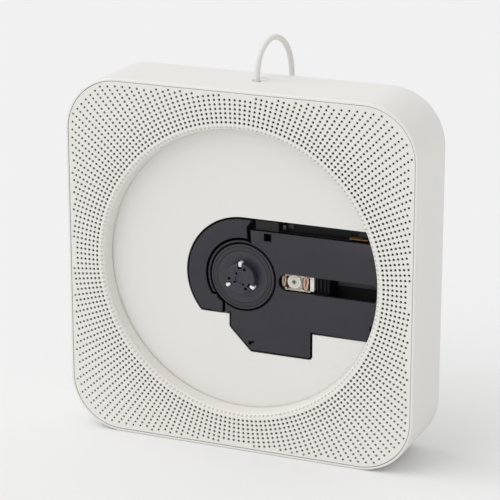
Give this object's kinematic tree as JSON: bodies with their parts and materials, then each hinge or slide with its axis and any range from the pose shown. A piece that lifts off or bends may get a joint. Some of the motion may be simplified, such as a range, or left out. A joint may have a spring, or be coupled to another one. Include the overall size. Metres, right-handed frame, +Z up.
{
  "type": "wall mounted disc player",
  "caption": "Square wall mounted disc player with a perforated front, an open round disc well and a looped pull cord.",
  "frame": {"origin": "middle of the underside, between the front plate and the back of the wall bracket", "axes": "+X to the right seen from the front, +Y towards the wall, +Z up to the cord"},
  "size_m": [0.172, 0.0873, 0.1912],
  "materials": {
    "case_shell": "satin",
    "front_white": "satin",
    "well_white": "satin",
    "cloth_black": "woven",
    "black_plastic": "fine texture",
    "grey_plastic": "satin",
    "white_plastic": "gloss",
    "steel": "brushed",
    "screw_steel": "plated",
    "bracket_steel": "powder coat",
    "rubber_black": "matt",
    "magnet": "plated",
    "yoke_steel": "plated",
    "coil_holder": "satin",
    "lens_glass": "polished",
    "ribbon_amber": "gloss",
    "board_green": "solder mask",
    "chip_black": "moulded",
    "can_metal": "drawn",
    "connector_white": "moulded",
    "gear_white": "moulded",
    "cone_paper": "paper",
    "cord_sleeve": "matt",
    "plug_plastic": "moulded",
    "plug_metal": "plated"
  },
  "bodies": {
    "case": {"rear_case": "case_shell", "front_grille": "front_white", "grille_cloth": "cloth_black", "disc_well": "well_white", "case_screws": "screw_steel", "well_screws": "screw_steel", "mech_surround": "black_plastic", "mech_cover": "black_plastic", "traverse_chassis": "grey_plastic", "damper_bushes": "rubber_black", "damper_screws": "screw_steel", "guide_rod_main": "steel", "guide_rod_sub": "steel", "rod_clips": "steel", "spindle_motor": "can_metal", "pickup_ribbon": "ribbon_amber", "feed_motor": "can_metal", "main_board": "board_green", "board_screws": "screw_steel", "board_chips": "chip_black", "capacitors": "can_metal", "board_connectors": "connector_white", "speaker_frames": "grey_plastic", "speaker_cones": "cone_paper", "speaker_magnets": "magnet", "speaker_screws": "screw_steel", "button_board": "board_green", "tact_switches": "chip_black", "switch_housing": "black_plastic", "switch_base": "black_plastic", "pull_spring": "steel", "cord_coil": "cord_sleeve", "cord_tail": "cord_sleeve", "cord_tie": "rubber_black", "plug_grip": "plug_plastic", "plug_barrel": "plug_metal"},
    "turntable": {"turntable": "black_plastic", "turntable_mat": "rubber_black", "disc_hub": "black_plastic", "spindle_shaft": "steel"},
    "claw_1": {"hub_claw_1": "white_plastic"},
    "claw_2": {"hub_claw_2": "white_plastic"},
    "claw_3": {"hub_claw_3": "white_plastic"},
    "sled": {"pickup_base": "grey_plastic", "pickup_rack": "white_plastic", "actuator_yoke": "yoke_steel", "actuator_magnets": "magnet", "suspension_block": "white_plastic"},
    "lens": {"lens_holder": "coil_holder", "objective_lens": "lens_glass"},
    "feed_gear": {"feed_gear": "gear_white"},
    "feed_pinion": {"feed_pinion": "gear_white"},
    "pull_switch": {"pull_stem": "white_plastic", "power_cord": "cord_sleeve"},
    "key_skip_back": {"button_skip_back": "case_shell"},
    "key_skip_forward": {"button_skip_forward": "case_shell"},
    "key_play": {"button_play": "case_shell"},
    "key_volume_down": {"button_volume_down": "case_shell"},
    "key_volume_up": {"button_volume_up": "case_shell"},
    "bracket": {"wall_bracket": "bracket_steel"}
  },
  "joints": [
    {"name": "turntable_spin", "type": "hinge", "parent": "case", "child": "turntable", "pos_m": [0, 0, 0.0828], "axis": [0, 1, 0], "continuous": true},
    {"name": "claw_1_slide", "type": "slide", "parent": "turntable", "child": "claw_1", "axis": [0, 0, -1], "range_m": [0, 0.0008], "stiffness_N_per_m": 400, "springref_m": -0.0003},
    {"name": "claw_2_slide", "type": "slide", "parent": "turntable", "child": "claw_2", "axis": [0.866, 0, 0.5], "range_m": [0, 0.0008], "stiffness_N_per_m": 400, "springref_m": -0.0003},
    {"name": "claw_3_slide", "type": "slide", "parent": "turntable", "child": "claw_3", "axis": [-0.866, 0, 0.5], "range_m": [0, 0.0008], "stiffness_N_per_m": 400, "springref_m": -0.0003},
    {"name": "sled_travel", "type": "slide", "parent": "case", "child": "sled", "axis": [1, 0, 0], "range_m": [0, 0.0334]},
    {"name": "lens_focus", "type": "slide", "parent": "sled", "child": "lens", "axis": [0, -1, 0], "range_m": [-0.0005, 0.0005], "stiffness_N_per_m": 60},
    {"name": "feed_gear_spin", "type": "hinge", "parent": "case", "child": "feed_gear", "pos_m": [0.03, -0.009, 0.0584], "axis": [0, 1, 0], "range_deg": [0, 480]},
    {"name": "feed_pinion_spin", "type": "hinge", "parent": "case", "child": "feed_pinion", "pos_m": [0.0196, -0.009, 0.055], "axis": [0, 1, 0], "range_deg": [-2160, 0]},
    {"name": "cord_pull", "type": "slide", "parent": "case", "child": "pull_switch", "axis": [0, 0, 1], "range_m": [0, 0.006], "stiffness_N_per_m": 250, "springref_m": -0.004, "deforming": ["pull_spring"]},
    {"name": "skip_back_press", "type": "slide", "parent": "case", "child": "key_skip_back", "axis": [0, 0, 1], "range_m": [0, 0.0006], "stiffness_N_per_m": 400, "springref_m": -0.0004},
    {"name": "skip_forward_press", "type": "slide", "parent": "case", "child": "key_skip_forward", "axis": [0, 0, 1], "range_m": [0, 0.0006], "stiffness_N_per_m": 400, "springref_m": -0.0004},
    {"name": "play_press", "type": "slide", "parent": "case", "child": "key_play", "axis": [0, 0, 1], "range_m": [0, 0.0006], "stiffness_N_per_m": 400, "springref_m": -0.0004},
    {"name": "volume_down_press", "type": "slide", "parent": "case", "child": "key_volume_down", "axis": [0, 0, 1], "range_m": [0, 0.0006], "stiffness_N_per_m": 400, "springref_m": -0.0004},
    {"name": "volume_up_press", "type": "slide", "parent": "case", "child": "key_volume_up", "axis": [0, 0, 1], "range_m": [0, 0.0006], "stiffness_N_per_m": 400, "springref_m": -0.0004},
    {"name": "bracket_unhook", "type": "slide", "parent": "case", "child": "bracket", "axis": [0, 0, -1], "range_m": [0, 0.008]}
  ],
  "couplings": [
    {"joint": "feed_gear_spin", "follows": "sled_travel", "rad_per_m": 250},
    {"joint": "feed_pinion_spin", "follows": "sled_travel", "rad_per_m": -1125}
  ]
}
